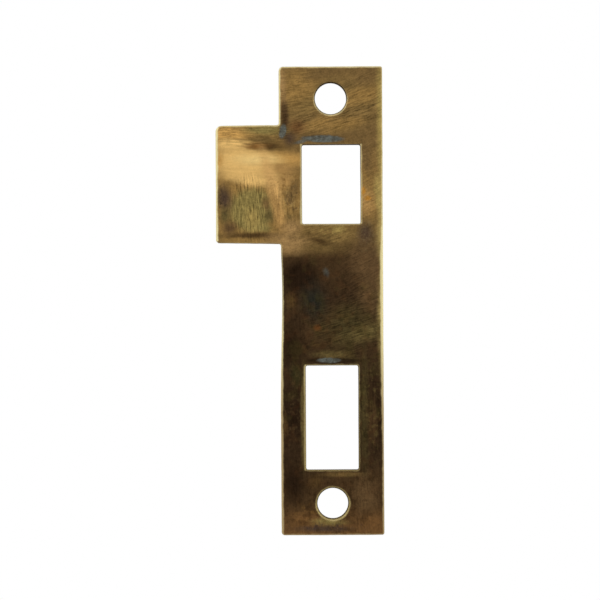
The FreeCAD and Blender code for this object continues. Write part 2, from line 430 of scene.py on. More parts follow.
def plate_mesh():
    """Build the plate: rings down every edge, then a triangulated front face and back face."""
    plan, depth, faces = [], [], []
    arris, rubbed, pierced, dirt_and_shade = [], [], [], []
    front_loops, back_loops = [], []
    front_ids, back_ids = [], []
    first = 0
    for number, outline in enumerate(plate_outlines()):
        inward = outline.inward
        points = outline.points + inward * outline.wander(outline.points, inward)[:, None]
        offsets, depths = outline.profile(points)
        rings, count = offsets.shape
        for k in range(rings):
            plan.append(points + inward * offsets[k][:, None])
            depth.append(depths[k])
        for k in range(rings - 1):
            for j in range(count):
                a, b = first + k * count + j, first + k * count + (j + 1) % count
                faces.append((a, a + count, b + count, b))
        for ring in (FRONT_ARRIS_STEPS // 2, rings - 2):
            arris.append(np.column_stack([plan[ring - rings], depths[ring]]))
            rubbed.append(outline.rubbing(outline.points, inward))
            pierced.append(np.full(count, float(number > 0)))
            dirt_and_shade.append(np.full(count, outline.dirt_depth))
        front_loops.append(plan[-rings])
        front_ids += range(first, first + count)
        back_loops.append(plan[-1])
        back_ids += range(first + (rings - 1) * count, first + rings * count)
        first += rings * count
    for loops, ids, grid, level, order in (
        (front_loops, front_ids, FRONT_GRID, 0.0, 1),
        (back_loops, back_ids, BACK_GRID, THICKNESS, -1),
    ):
        inner, triangles = fill_face(loops, grid)
        numbers = ids + list(range(first, first + len(inner)))
        faces += [tuple(numbers[k] for k in triangle)[::order] for triangle in triangles]
        plan.append(inner)
        depth.append(np.full(len(inner), level))
        first += len(inner)
    plan = np.concatenate(plan)
    depth = np.concatenate(depth)
    nearest, edge_distance = nearest_edge(np.column_stack([plan, depth]), np.concatenate(arris))
    sunk = depth + hollow_depth(plan) * (1 - depth / THICKNESS)
    mesh = bpy.data.meshes.new("aged_plate")
    mesh.from_pydata((bend(plan, sunk) * MM).tolist(), [], faces)
    for name, values in (
        ("depth", depth),
        ("edge_distance", edge_distance),
        ("rubbed", np.concatenate(rubbed)[nearest]),
        ("pierced", np.concatenate(pierced)[nearest]),
        ("dirt_depth", np.concatenate(dirt_and_shade)[nearest]),
    ):
        layer = mesh.attributes.new(name, "FLOAT", "POINT")
        layer.data.foreach_set("value", values.astype(np.float32))
    mesh.shade_smooth()
    mesh.update()
    return mesh


def nearest_edge(points, targets):
    """The number of the nearest target to each point, and how far away it is."""
    tree = kdtree.KDTree(len(targets))
    for i, target in enumerate(targets):
        tree.insert(target, i)
    tree.balance()
    found = [tree.find(point)[1:] for point in points]
    return np.array([number for number, _ in found]), np.array([distance for _, distance in found])


# Squeezes a coordinate to nothing.
FLAT = 1e6


class Value:
    """An output socket that takes part in Python arithmetic by adding Math nodes."""

    def __init__(self, finish, socket):
        self.finish = finish
        self.socket = socket

    def __add__(self, other):
        return self.finish.math("ADD", self, other)

    def __sub__(self, other):
        return self.finish.math("SUBTRACT", self, other)

    def __rsub__(self, other):
        return self.finish.math("SUBTRACT", other, self)

    def __mul__(self, other):
        return self.finish.math("MULTIPLY", self, other)

    def __truediv__(self, other):
        return self.finish.math("DIVIDE", self, other)

    __radd__ = __add__
    __rmul__ = __mul__


class Finish:
    """The nodes of a material or of the world."""

    def __init__(self, owner):
        owner.use_nodes = True
        self.owner = owner
        self.tree = owner.node_tree
        self.tree.nodes.clear()

    def node(self, kind, settings=(), inputs=(), output=0):
        """Add a node, apply its settings, fill its sockets with values or links and return an output."""
        node = self.tree.nodes.new(kind)
        for name, value in dict(settings).items():
            if name == "stops":
                self.set_stops(node.color_ramp, value)
            else:
                setattr(node, name, value)
        for name, value in dict(inputs).items():
            if isinstance(value, Value):
                self.tree.links.new(value.socket, node.inputs[name])
            else:
                node.inputs[name].default_value = value
        return Value(self, node.outputs[output]) if len(node.outputs) else None

    def set_stops(self, ramp, stops):
        while len(ramp.elements) < len(stops):
            ramp.elements.new(1.0)
        for element, (position, colour) in zip(ramp.elements, stops):
            element.position = position
            element.color = colour

    def math(self, operation, first, second):
        return self.node("ShaderNodeMath", {"operation": operation}, {0: first, 1: second})

    def attribute(self, name):
        return self.node("ShaderNodeAttribute", {"attribute_name": name}, output=2)

    def noise(self, place, size, seed, detail=3.0, roughness=0.55, output=0):
        """Noise from 0 to 1 whose spots are about this size."""
        inputs = {"Vector": place, "W": seed, "Scale": 1 / size, "Detail": detail, "Roughness": roughness}
        return self.node("ShaderNodeTexNoise", {"noise_dimensions": "4D"}, inputs, output)

    def step(self, value, low, high, start=0.0, end=1.0):
        """Go smoothly from the start at low to the end at high."""
        inputs = {"Value": value, "From Min": low, "From Max": high, "To Min": start, "To Max": end}
        return self.node("ShaderNodeMapRange", {"interpolation_type": "SMOOTHSTEP"}, inputs)

    def fall(self, value, low, high):
        return self.step(value, low, high, start=1.0, end=0.0)

    def mix(self, factor, first, second):
        """Blend two colours, which a Mix node takes in its sockets 6 and 7."""
        inputs = {"Factor": factor, 6: first, 7: second}
        return self.node("ShaderNodeMix", {"data_type": "RGBA"}, inputs, output=2)

    def vector(self, operation, inputs, output=0):
        return self.node("ShaderNodeVectorMath", {"operation": operation}, inputs, output)

    def scale(self, vector, amount):
        return self.vector("SCALE", {0: vector, "Scale": amount})

    def shift(self, vector, other):
        return self.vector("ADD", {0: vector, 1: other})

    def distance(self, vector, other):
        return self.vector("DISTANCE", {0: vector, 1: other}, output=1)

    def height(self, vector):
        return self.node("ShaderNodeSeparateXYZ", inputs={0: vector}, output=2)

    def turned(self, place, angle, stretch, middle=(0.0, 0.0), width=1.0):
        """Coordinates along and across a direction in the face, squeezed along it and flat in depth."""
        inputs = {
            "Vector": place,
            "Location": (middle[0], 0.0, middle[1]),
            "Rotation": (0.0, -math.radians(angle), 0.0),
            "Scale": (stretch * width, FLAT, width),
        }
        return self.node("ShaderNodeMapping", {"vector_type": "TEXTURE"}, inputs)

    def drift(self, place, size, reach, seed):
        """Coordinates pushed about by soft noise, which makes outlines uneven."""
        cloud = self.noise(place, size, seed, output=1)
        return self.shift(place, self.scale(self.shift(cloud, (-0.5, -0.5, -0.5)), 2 * reach))

    def oval(self, place, oval, feather):
        """A soft oval mask."""
        field = self.turned(
            place, oval.turn, oval.half_long / oval.half_high, (oval.x, oval.z), oval.half_high
        )
        return self.fall(self.distance(field, (0.0, 0.0, 0.0)), 1 - feather, 1 + feather)


# Seeds of the noises in the finish. Flecks and scratches count up from theirs, and brushes from 0.
SEEDS = {
    "grain": 1.0,
    "mottle": 2.0,
    "sweep": 3.0,
    "ragged_patches": 8.0,
    "wavy_strokes": 9.0,
    "ragged_residue": 17.0,
    "residue": 19.0,
    "ragged_rust": 23.0,
    "flecks": 30.0,
    "scratches": 40.0,
    "streaks": 61.0,
    "bumps": 63.0,
    "patchy_wear": 67.0,
    "back_clouds": 71.0,
    "back_strokes": 73.0,
}
SEED_STEP = 5.0
BRUSH_SEED_STEP = 3.0


def colour(code):
    """A colour written as six hexadecimal digits, as linear red, green, blue and alpha."""
    channels = [int(code[k : k + 2], 16) / 255 for k in (0, 2, 4)]
    linear = [c / 12.92 if c <= 0.04045 else ((c + 0.055) / 1.055) ** 2.4 for c in channels]
    return (*linear, 1.0)


# Tones of tarnish, rubbed metal and painted reflection, roughly from bright to dark.
TONES = {
    "white_gold": colour("dcbc7a"),
    "bright_gold": colour("d0aa68"),
    "warm_gold": colour("c49c60"),
    "gold": colour("b48c4e"),
    "straw": colour("b09a5e"),
    "dull_gold": colour("a27e4a"),
    "pale_olive": colour("98824a"),
    "tan": colour("95764a"),
    "old_gold": colour("8a6c3c"),
    "olive": colour("807040"),
    "olive_brown": colour("7a6238"),
    "orange_brown": colour("7a562c"),
    "light_brown": colour("705834"),
    "brown": colour("6a5430"),
    "red_brown": colour("684a2a"),
    "dark_olive": colour("5e502e"),
    "middle_brown": colour("5c462c"),
    "deep_brown": colour("4e3a20"),
    "dusk": colour("4a3a2c"),
    "grey": colour("4c4a42"),
    "umber": colour("44321e"),
    "black_olive": colour("423820"),
    "dark_umber": colour("38291a"),
    "night_olive": colour("302a18"),
    "slate": colour("26251e"),
    "black_brown": colour("261a10"),
}

# General tone of the front face by height, from the top down: tarnish, and painted reflection that makes the
# upper part light and the middle and lower part dark.
TARNISH_AND_REFLECTION_BY_HEIGHT = {
    50: "light_brown",
    44: "olive_brown",
    35: "light_brown",
    22: "old_gold",
    13: "brown",
    9: "umber",
    0: "dark_umber",
    -5: "umber",
    -14: "dark_umber",
    -25: "black_brown",
    -34: "dark_umber",
    -38: "umber",
    -43: "umber",
    -50: "red_brown",
}

# Ways in which tarnish is rubbed over the face: the strokes' direction in degrees, how many times longer
# than wide a spot is, and how far its ends fray. The bristles that fray it have one size.
Brush = namedtuple("Brush", "angle stretch fray")
BRUSHES = {
    "dab": Brush(20, 1.2, 0.8),
    "level_broad": Brush(-3, 2.0, 1.2),
    "level": Brush(-1, 4.0, 1.4),
    "level_fine": Brush(0, 8.0, 1.4),
    "falling": Brush(-13, 4.0, 1.0),
    "rising": Brush(14, 3.5, 1.6),
    "upright_wide": Brush(94, 0.95, 1.2),
    "upright_broad": Brush(94, 1.6, 1.0),
    "upright": Brush(93, 4.0, 1.2),
    "upright_fine": Brush(90, 16.0, 1.2),
    "leaning": Brush(106, 5.0, 1.0),
}
BRISTLE_SIZE = 0.45
BRISTLE_STRETCH = 10.0

# A spot laid with a brush: its middle, its half width across the strokes and the softness of its edge.
USUAL_FEATHER = 0.8
Spot = namedtuple("Spot", "brush x z size feather", defaults=[USUAL_FEATHER])

# Patches of tarnish and of rubbed metal, partly painted reflection on the lip's bright band, the light band
# below it and the dark middle, by tone and spot, in the order in which they lie over each other.
PATCHES = {
    "top_left_gold": ("old_gold", Spot("dab", -7.5, 45.5, 3.6, 0.7)),
    "top_middle_brown": ("light_brown", Spot("rising", -1.5, 48.6, 1.0)),
    "top_right_dusk": ("light_brown", Spot("dab", 7.8, 47.8, 2.0)),
    "top_left_olive": ("olive_brown", Spot("dab", -4.8, 41.6, 1.4)),
    "hole_right_gold": ("old_gold", Spot("rising", 6.4, 43.6, 1.6)),
    "top_gold_streak": ("old_gold", Spot("rising", -2.6, 37.8, 1.0)),
    "top_middle_tan": ("old_gold", Spot("rising", 2.4, 37.4, 1.2)),
    "shoulder_dusk": ("light_brown", Spot("dab", 8.3, 35.4, 1.6)),
    "latch_corner_dark": ("light_brown", Spot("level", 6.6, 34.2, 0.5)),
    "left_shoulder_brown": ("red_brown", Spot("dab", -7.4, 37.0, 1.4)),
    "left_edge_red": ("middle_brown", Spot("upright", -10.1, 40.8, 0.7, 0.9)),
    "left_edge_gold": ("tan", Spot("upright", -10.6, 46.6, 0.8, 0.9)),
    "right_top_edge_gold": ("pale_olive", Spot("upright_fine", 10.7, 38.0, 0.8, 0.9)),
    "left_edge_dark": ("umber", Spot("upright", -9.8, 38.3, 0.7, 0.9)),
    "lip_root_dark": ("dusk", Spot("dab", -9.2, 34.4, 1.3)),
    "shoulder_brown": ("light_brown", Spot("upright", 7.6, 30.8, 0.9)),
    "shoulder_warm": ("old_gold", Spot("upright_broad", 7.2, 25.6, 1.0)),
    "shoulder_bright": ("pale_olive", Spot("upright", 10.0, 22.6, 0.8)),
    "shoulder_gold": ("dull_gold", Spot("upright_broad", 7.6, 20.8, 1.4)),
    # The lip's bright band: partly rubbed gold, partly painted reflection.
    "lip_ground": ("old_gold", Spot("upright_broad", -18, 25, 9.6, 0.2)),
    "lip_top_gold": ("gold", Spot("level", -22.4, 35.8, 1.2, 0.7)),
    "lip_top_olive": ("olive", Spot("level", -14, 36.4, 1.0, 0.7)),
    "lip_upper_gold": ("bright_gold", Spot("level", -21.4, 33.5, 1.0)),
    "lip_gold": ("bright_gold", Spot("level_broad", -18.4, 29.6, 3.4, 0.5)),
    "lip_gold_right": ("gold", Spot("level", -9.6, 30.2, 1.2)),
    "lip_gold_core": ("white_gold", Spot("level", -15.6, 30.2, 1.0, 0.9)),
    "lip_gold_tail": ("bright_gold", Spot("level", -16.2, 25.9, 1.4, 0.7)),
    "lip_left_tan": ("gold", Spot("upright_broad", -23.9, 30.4, 0.8)),
    "lip_smear_upper": ("brown", Spot("level", -14.2, 34.4, 0.8)),
    "lip_smear": ("deep_brown", Spot("level", -13.4, 33.0, 0.8)),
    "lip_smear_tail": ("orange_brown", Spot("level", -16.0, 33.1, 0.55, 0.95)),
    "lip_rose_cloud": ("dull_gold", Spot("level_broad", -10.4, 28.2, 1.0)),
    "lip_brown": ("dull_gold", Spot("dab", -9.8, 25.6, 1.5)),
    "lip_dark_right": ("light_brown", Spot("upright_broad", -7.6, 24.2, 0.9)),
    "lip_fringe": ("old_gold", Spot("falling", -21.4, 24.7, 1.0)),
    "lip_olive": ("olive", Spot("upright_wide", -17.0, 19.4, 4.8, 0.25)),
    "lip_olive_left": ("olive", Spot("upright_broad", -19.2, 19.0, 1.4)),
    "lip_olive_light": ("pale_olive", Spot("upright_broad", -16.8, 17.4, 1.3)),
    "lip_olive_green": ("olive", Spot("level_broad", -14.4, 15.4, 0.8)),
    "lip_olive_dark": ("dark_olive", Spot("upright_broad", -13.1, 18.2, 0.8)),
    "lip_olive_brown": ("light_brown", Spot("upright_broad", -13.9, 20.8, 0.8)),
    "lip_black": ("dusk", Spot("upright_broad", -22.8, 21.9, 1.55)),
    "lip_black_foot": ("dark_olive", Spot("upright_broad", -22.6, 18.2, 1.1)),
    "lip_tan_upper": ("warm_gold", Spot("leaning", -12.7, 25.4, 1.2)),
    "lip_tan_lower": ("dull_gold", Spot("leaning", -11.3, 18.8, 1.0)),
    "lip_purple": ("light_brown", Spot("upright_broad", -8.6, 22.2, 1.0)),
    "lip_purple_gold": ("old_gold", Spot("dab", -9.4, 20.4, 0.7, 0.9)),
    "lip_olive_shade": ("olive_brown", Spot("dab", -8.9, 17.9, 0.6)),
    "lip_foot_dark": ("deep_brown", Spot("level_fine", -16.9, 13.8, 0.75, 0.65)),
    "lip_foot_left": ("middle_brown", Spot("dab", -21.6, 15.5, 1.2)),
    "lip_foot_line": ("old_gold", Spot("level_fine", -18.5, 13.0, 0.45, 0.9)),
    "latch_foot_gold": ("olive_brown", Spot("level", -2.0, 15.4, 0.8, 0.7)),
    "latch_foot_bright": ("pale_olive", Spot("dab", 1.6, 15.0, 0.9, 0.9)),
    "latch_foot_right": ("olive_brown", Spot("rising", 1.8, 13.6, 1.0)),
    "tan_flow": ("tan", Spot("level_broad", -9.4, 12.2, 2.0, 0.7)),
    "tan_flow_lip": ("tan", Spot("dab", -8.3, 15.6, 1.5)),
    "tan_flow_thin": ("brown", Spot("level", -2.5, 11.3, 0.9, 0.9)),
    "latch_foot_streak": ("deep_brown", Spot("falling", -2.6, 12.8, 0.5, 0.9)),
    "shoulder_purple": ("dusk", Spot("upright_broad", 7.3, 14.2, 1.4)),
    "right_brown": ("middle_brown", Spot("upright_broad", 7.0, 8.6, 2.6)),
    "right_edge_tan": ("straw", Spot("upright_fine", 10.9, 6.0, 1.0, 0.9)),
    "middle_olive_black": ("black_brown", Spot("dab", -7.0, 5.2, 3.4, 0.5)),
    "right_edge_red": ("middle_brown", Spot("upright", 9.6, 7.0, 1.1, 0.95)),
    "middle_slate": ("slate", Spot("upright_broad", -3.8, -0.3, 2.3, 0.9)),
    "grey_spot": ("grey", Spot("upright_broad", -1.2, 6.0, 0.45, 0.9)),
    "right_middle_tan": ("middle_brown", Spot("upright_broad", 7.8, 1.0, 2.0, 0.9)),
    "left_edge_olive": ("deep_brown", Spot("upright_broad", -8.8, -0.2, 1.0)),
    "left_red_brown": ("dark_umber", Spot("dab", -7.4, -4.4, 2.0)),
    "middle_olive": ("black_olive", Spot("dab", 3.4, -5.6, 4.0)),
    "right_olive": ("dark_olive", Spot("rising", 8.4, -6.6, 1.5)),
    "left_black_brown": ("black_brown", Spot("upright_broad", -8.6, -10.0, 2.2, 0.9)),
    "bolt_top_olive": ("dark_olive", Spot("level", 0.2, -11.6, 0.8, 0.9)),
    "left_low_olive": ("night_olive", Spot("upright_broad", -7.8, -15.8, 1.2, 0.9)),
    "left_orange_edge": ("deep_brown", Spot("upright", -10.0, -26.4, 0.5, 0.9)),
    "bolt_left_olive": ("dark_olive", Spot("upright_fine", -6.1, -25.0, 0.6, 0.5)),
    "bolt_right_olive": ("black_olive", Spot("upright_fine", 6.8, -24.0, 0.7, 0.9)),
    "right_low_brown": ("umber", Spot("upright", 8.4, -25.0, 1.0, 0.9)),
    "bottom_warm": ("deep_brown", Spot("dab", -3.6, -38.6, 1.1, 0.9)),
    "bolt_foot_gold": ("brown", Spot("level_fine", 2.4, -37.0, 0.45, 0.9)),
    "bolt_foot_dark": ("umber", Spot("level", 1.4, -38.4, 0.5, 0.9)),
    "bottom_left_dark": ("black_brown", Spot("upright_broad", -8.4, -38.6, 2.4, 0.9)),
    "bottom_left_warm": ("red_brown", Spot("level_broad", -6.0, -46.4, 1.2)),
    "bottom_right_olive": ("middle_brown", Spot("upright_broad", 7.0, -41.6, 2.2)),
    "bottom_right_red": ("red_brown", Spot("dab", 8.2, -47.4, 1.6)),
    "bottom_grey_band": ("dusk", Spot("level_fine", -2.0, -48.5, 0.6)),
    "hole_foot_gold": ("olive", Spot("level", -1.0, -47.0, 0.7, 0.9)),
}

# The hard lower edge of the light band, partly tarnish and partly painted reflection, that runs from the lip
# into the plate, and half its softness.
TAN_FLOW_FOOT = 9.3
TAN_FLOW_SOFTNESS = 0.35

# Directions of fine strokes in degrees, how many times longer than wide a stroke is, and how it waves.
DIRECTIONS = {"level": -1, "shallow": 8, "rising": 16, "steep": 27, "upright": 94}
STROKE_STRETCH = 10
STROKE_WAVE_LENGTH = 1.8
STROKE_WAVE = 0.2

# Rubbing, which makes the metal lighter and darker in fine lines: direction, width of a line, strength and
# the spot it fills.
RUBBING = {
    "top_left": ("shallow", 0.26, 1.1, Spot("dab", -6.5, 43.5, 5.5, 0.5)),
    "top_middle": ("rising", 0.28, 1.4, Spot("rising", 0.0, 39.0, 3.4, 0.5)),
    "top_right": ("steep", 0.26, 1.0, Spot("dab", 6.6, 43.5, 5.5, 0.5)),
    "shoulder": ("steep", 0.26, 0.8, Spot("upright", 8.4, 26.0, 3.0, 0.5)),
    "lip_top": ("level", 0.24, 1.4, Spot("level", -17.0, 35.2, 2.4, 0.4)),
    "lip_gold": ("level", 0.40, 0.35, Spot("level_broad", -16.0, 29.6, 4.0, 0.5)),
    "lip_olive": ("upright", 0.22, 2.1, Spot("upright_broad", -17.4, 19.4, 4.2, 0.4)),
    "lip_right": ("upright", 0.26, 1.2, Spot("upright_broad", -10.0, 20.5, 3.0, 0.5)),
    "latch_foot": ("rising", 0.24, 1.1, Spot("level", -2.0, 13.8, 2.0, 0.5)),
    "right": ("steep", 0.24, 0.9, Spot("upright_broad", 6.4, 6.0, 5.0, 0.5)),
    "middle": ("rising", 0.24, 1.7, Spot("dab", 3.4, -5.0, 7.0, 0.5)),
    "left_middle": ("upright", 0.30, 0.65, Spot("upright_broad", -7.0, 0.0, 5.0, 0.5)),
    "lower_right": ("upright", 0.45, 0.9, Spot("upright", 8.4, -25.0, 3.0, 0.5)),
    "lower": ("upright", 0.34, 0.6, Spot("upright_broad", 0.0, -32.0, 14.0, 0.3)),
}

# Mottling: colour, size of a fleck, strength and the spot it fills.
MOTTLES = {
    "plate_black": ("1c1209", 1.2, 0.35, Spot("upright_broad", 0, -16, 16.0, 0.3)),
    "plate_red_brown": ("4d3019", 2.2, 0.20, Spot("upright_broad", 0, -16, 18.0, 0.3)),
    "plate_olive": ("463e1e", 3.0, 0.25, Spot("upright_broad", 0, -12, 15.0, 0.3)),
    "lip_purple_dark": ("4f3d2c", 0.8, 0.60, Spot("upright_broad", -8.4, 21.6, 1.6, 0.7)),
    "lip_purple_gold": ("a88a54", 0.7, 0.50, Spot("upright_broad", -8.8, 20.2, 2.2, 0.7)),
    "lip_brown_dark": ("735429", 0.8, 0.60, Spot("level_broad", -9.0, 25.4, 1.8, 0.7)),
    "lip_black_edge": ("241d17", 0.6, 0.70, Spot("upright", -23.3, 20.8, 1.0, 0.7)),
    "latch_foot_light": ("a18b4d", 0.5, 0.50, Spot("level", 0.0, 14.9, 0.9, 0.7)),
    "shoulder_specks": ("80704e", 0.4, 0.25, Spot("upright_broad", 7.6, 14.0, 2.4, 0.7)),
    "right_strip_olive": ("5a4c2b", 0.8, 0.45, Spot("upright", 8.0, -23.0, 2.6, 0.6)),
    "left_strip_tan": ("54432a", 0.7, 0.35, Spot("upright", -8.4, -23.0, 2.4, 0.6)),
    "bottom_ripple": ("332829", 0.9, 0.60, Spot("level_fine", -1.0, -48.2, 0.9, 0.7)),
    "bottom_dark": ("2a1a0b", 1.4, 0.45, Spot("dab", 0, -42, 9.0, 0.4)),
    "bottom_gold": ("7b5a2d", 0.9, 0.40, Spot("level_broad", -3, -46, 2.4, 0.7)),
}

# How far grain, mottle and strokes lighten and darken the metal, and how large grain and mottle are.
GRAIN_TONE = 0.9
GRAIN_SIZE = 0.26
MOTTLE_TONE = 0.9
MOTTLE_SIZE = 0.8
STROKE_TONE = 1.6

# The bright part of the lip, partly rubbed metal and partly painted reflection, where rubbing has smoothed
# the grain, and by how much.
SMOOTH_GOLD = Oval(-16.8, 29.8, 9.5, 4.8, -4)
SMOOTHING = 0.7

# Residue, painted shade at the hollows' rims and in the crescent, and rust: how much of the metal they
# cover, the residue's flecks and soft edges, the size and reach of ragged outlines, and where they lie if
# not in a hollow of the face.
BOLT_RESIDUE = Oval(-0.7, -12.7, 2.3, 0.5, 0)
RESIDUE_COVER = 0.9
RESIDUE_TAIL_COVER = 0.7
HOLLOW_RIM_SHADE_COVER = 0.45
CRESCENT_COVER = 0.7
RESIDUE_FLECK = 0.9
RESIDUE_LEVELS = (0.35, 0.75)
RESIDUE_FEATHER = 0.25
RIM_FEATHER = 0.8
RESIDUE_RAGGED = (1.0, 0.3)
RUST_COVER = 0.85
RUST_RAGGED = (0.7, 0.25)
RUST_SPOTS = (
    ("b27c2f", Oval(6.75, 23.4, 0.5, 0.8, 0)),
    ("b57e30", Oval(7.8, 21.8, 0.65, 0.45, 0)),
    ("5e3a1c", Oval(-3.1, -5.8, 0.75, 0.55, 0)),
)

# Colours of bare and dirty metal, of painted shade and painted light on the cut walls, and of painted shade
# at the hollows.
RUBBED_HIGH = colour("d7ca97")
RUBBED_LOW = colour("a8946a")
RUBBED_LATCH = colour("b9aa7c")
RUBBED_BOLT = colour("9a8a5c")
OUTER_WALL = colour("5a4526")
PIERCED_SHADE = colour("2c2112")
PIERCED_LIGHT = colour("6a6049")
BACK_TARNISH = colour("46341b")
BACK_RUBBED = colour("735b31")
RESIDUE_DARK = colour("56564d")
RESIDUE_GREY = colour("7b817b")
HOLLOW_RIM_SHADE = colour("2e2618")
CRESCENT_BLACK = colour("241b10")

# Tarnish keeps the metal from flashing white where it is seen edge on.
GRAZING_TINT = (0.35, 0.30, 0.22, 1.0)

# Noise above the first level starts a fleck, which is full at the second.
FLECK_STARTS, FLECK_FULL = 0.5, 0.66

# Size and reach of the slow sweep that moves the patches and of their ragged outlines.
PATCH_SWEEP = (7.0, 0.4)
PATCH_RAGGED = (1.1, 0.3)

# The front's finish fades into the back's between these shares of the thickness.
FRONT_FADES = (0.35, 0.6)

# The back's upright strokes and clouds, and the levels of both at which rubbed metal starts and is full.
BACK_STROKE_ANGLE = 88
BACK_STROKE_STRETCH = 12.0
BACK_STROKE_WIDTH = 0.8
BACK_STROKE_SHARE = 0.5
BACK_CLOUD_SIZE = 9.0
BACK_LEVELS = (0.55, 1.0)

# Dirt and painted shade on the cut walls: how much they cover, where they end above the back face, and how
# far a wall faces up where the painted light starts and is full.
WALL_COVER = 0.85
WALL_ENDS = (0.35, 0.15)
PAINTED_LIGHT_FACING = (-0.5, 0.6)

# The bare band at an edge, worn metal with painted highlight: where it starts to fade, its least width, how
# rubbing widens it, its patches, the multiples of the depth of dirt and painted shade where it fades out,
# and the heights between which it grows brighter.
BAND_FADES = 0.08
BAND_WIDTH = 0.2
BAND_WIDENS = 0.28
PATCHY_SIZE = 1.4
PATCHY_REACH = 0.4
DIRT_AND_SHADE_SHOWS, DIRT_AND_SHADE_FULL = 1.4, 2.4
BRIGHT_EDGE_HEIGHTS = (-26.0, -5.0)

# The feel of the metal: rubbed in one direction and slightly gritty. Residue is rough, gritty and dull.
BRASS_ROUGHNESS = 0.5
STREAK_ROUGHNESS = 0.3
RESIDUE_ROUGHNESS = 0.35
RESIDUE_DULLNESS = 0.8
STREAK_ANGLE = 5
STREAK_STRETCH = 25.0
STREAK_SIZE = 0.3
STREAK_RELIEF = 0.4
GRIT_SIZE = 0.6
BRASS_GRIT = 0.3
RESIDUE_GRIT = 0.8

# The bump's share and its height in metres.
BUMP_SHARE = 0.25
BUMP_HEIGHT = 0.00006


def general_tarnish_and_reflection(finish, height):
    # Tarnish and painted reflection, light above and dark in the middle and below.
    span = 2 * HALF_HEIGHT
    stops = [((z + HALF_HEIGHT) / span, TONES[tone]) for z, tone in reversed(TARNISH_AND_REFLECTION_BY_HEIGHT.items())]
    return finish.node("ShaderNodeValToRGB", {"stops": stops}, {"Fac": (height + HALF_HEIGHT) / span})


def brushed_fields(finish, place):
    """For each brush, coordinates in which its spots are round, frayed along its strokes."""
    fields = {}
    for number, (name, brush) in enumerate(BRUSHES.items()):
        bristles = finish.turned(place, brush.angle, BRISTLE_STRETCH)
        strokes = finish.noise(bristles, BRISTLE_SIZE, BRUSH_SEED_STEP * number) - 0.5
        turn = math.radians(brush.angle)
        along = (math.cos(turn), 0.0, math.sin(turn))
        frayed = finish.shift(place, finish.scale(along, strokes * (2 * brush.fray)))
        fields[name] = finish.turned(frayed, brush.angle, brush.stretch)
    return fields


def spot_mask(finish, fields, spot):
    brush = BRUSHES[spot.brush]
    turn = math.radians(brush.angle)
    along = (spot.x * math.cos(turn) + spot.z * math.sin(turn)) / brush.stretch
    across = spot.z * math.cos(turn) - spot.x * math.sin(turn)
    distance = finish.distance(fields[spot.brush], (along, 0.0, across))
    return finish.fall(distance, spot.size * (1 - spot.feather), spot.size * (1 + spot.feather))


def front_tarnish_and_reflection(finish, place, fields):
    """Colour of the front face: the general tarnish and painted reflection, each patch over it, then
    mottling.
    """
    height = finish.height(place)
    surface = general_tarnish_and_reflection(finish, height)
    for name, (tone, spot) in PATCHES.items():
        mask = spot_mask(finish, fields, spot)
        # The light band's hard lower edge is painted reflection.
        if name == "tan_flow":
            low, high = TAN_FLOW_FOOT - TAN_FLOW_SOFTNESS, TAN_FLOW_FOOT + TAN_FLOW_SOFTNESS
            mask = mask * finish.step(height, low, high)
        surface = finish.mix(mask, surface, TONES[tone])
    for number, (code, size, strength, spot) in enumerate(MOTTLES.values()):
        flecks = finish.noise(place, size, SEEDS["flecks"] + SEED_STEP * number)
        marks = finish.step(flecks, FLECK_STARTS, FLECK_FULL) * strength
        surface = finish.mix(spot_mask(finish, fields, spot) * marks, surface, colour(code))
    return surface


def rubbing_tone(finish, place, fields):
    """How much lighter or darker the fine grain and the rubbing make the front, about 1."""
    smooth = finish.oval(place, SMOOTH_GOLD, feather=0.5)
    grain = finish.noise(place, GRAIN_SIZE, SEEDS["grain"], detail=2.0) - 0.5
    mottle = finish.noise(place, MOTTLE_SIZE, SEEDS["mottle"]) - 0.5
    tone = 1 + (grain * GRAIN_TONE + mottle * MOTTLE_TONE) * (1 - smooth * SMOOTHING)
    wavy = finish.drift(place, STROKE_WAVE_LENGTH, STROKE_WAVE, SEEDS["wavy_strokes"])
    lines = {name: finish.turned(wavy, angle, STROKE_STRETCH) for name, angle in DIRECTIONS.items()}
    for number, (direction, width, strength, spot) in enumerate(RUBBING.values()):
        scratches = finish.noise(lines[direction], width, SEEDS["scratches"] + SEED_STEP * number) - 0.5
        tone = tone + spot_mask(finish, fields, spot) * scratches * (STROKE_TONE * strength)
    return tone


def lay_residue_and_shade(finish, place, front, surface):
    """Lay black painted shade at the hollows' rims and in the bolt's crescent, and grey residue in the
    hollows. Return the colour and where the grey lies.
    """
    ragged = finish.drift(place, *RESIDUE_RAGGED, SEEDS["ragged_residue"])
    # Painted shade: black round the latch and lip-root hollows, in the bolt's crescent and in the small pit.
    rim = finish.oval(ragged, LATCH_HOLLOW, RIM_FEATHER) + finish.oval(ragged, LIP_ROOT_HOLLOW, RIM_FEATHER)
    surface = finish.mix(rim * front * HOLLOW_RIM_SHADE_COVER, surface, HOLLOW_RIM_SHADE)
    crescent = finish.oval(ragged, BOLT_HOLLOW, feather=0.3) + finish.oval(ragged, SMALL_PIT, feather=0.6)
    surface = finish.mix(crescent * front * CRESCENT_COVER, surface, CRESCENT_BLACK)
    latch_grey, root_grey = (
        finish.oval(ragged, hollow, RESIDUE_FEATHER) for hollow in (LATCH_HOLLOW, LIP_ROOT_HOLLOW)
    )
    tail = finish.oval(ragged, LATCH_TAIL, feather=0.5) * RESIDUE_TAIL_COVER
    grey = finish.math("MAXIMUM", latch_grey + root_grey, tail)
    grey = (grey + finish.oval(ragged, BOLT_RESIDUE, feather=0.3)) * front
    flecks = finish.step(finish.noise(place, RESIDUE_FLECK, SEEDS["residue"]), *RESIDUE_LEVELS)
    residue = finish.mix(flecks, RESIDUE_DARK, RESIDUE_GREY)
    return finish.mix(grey * RESIDUE_COVER, surface, residue), grey


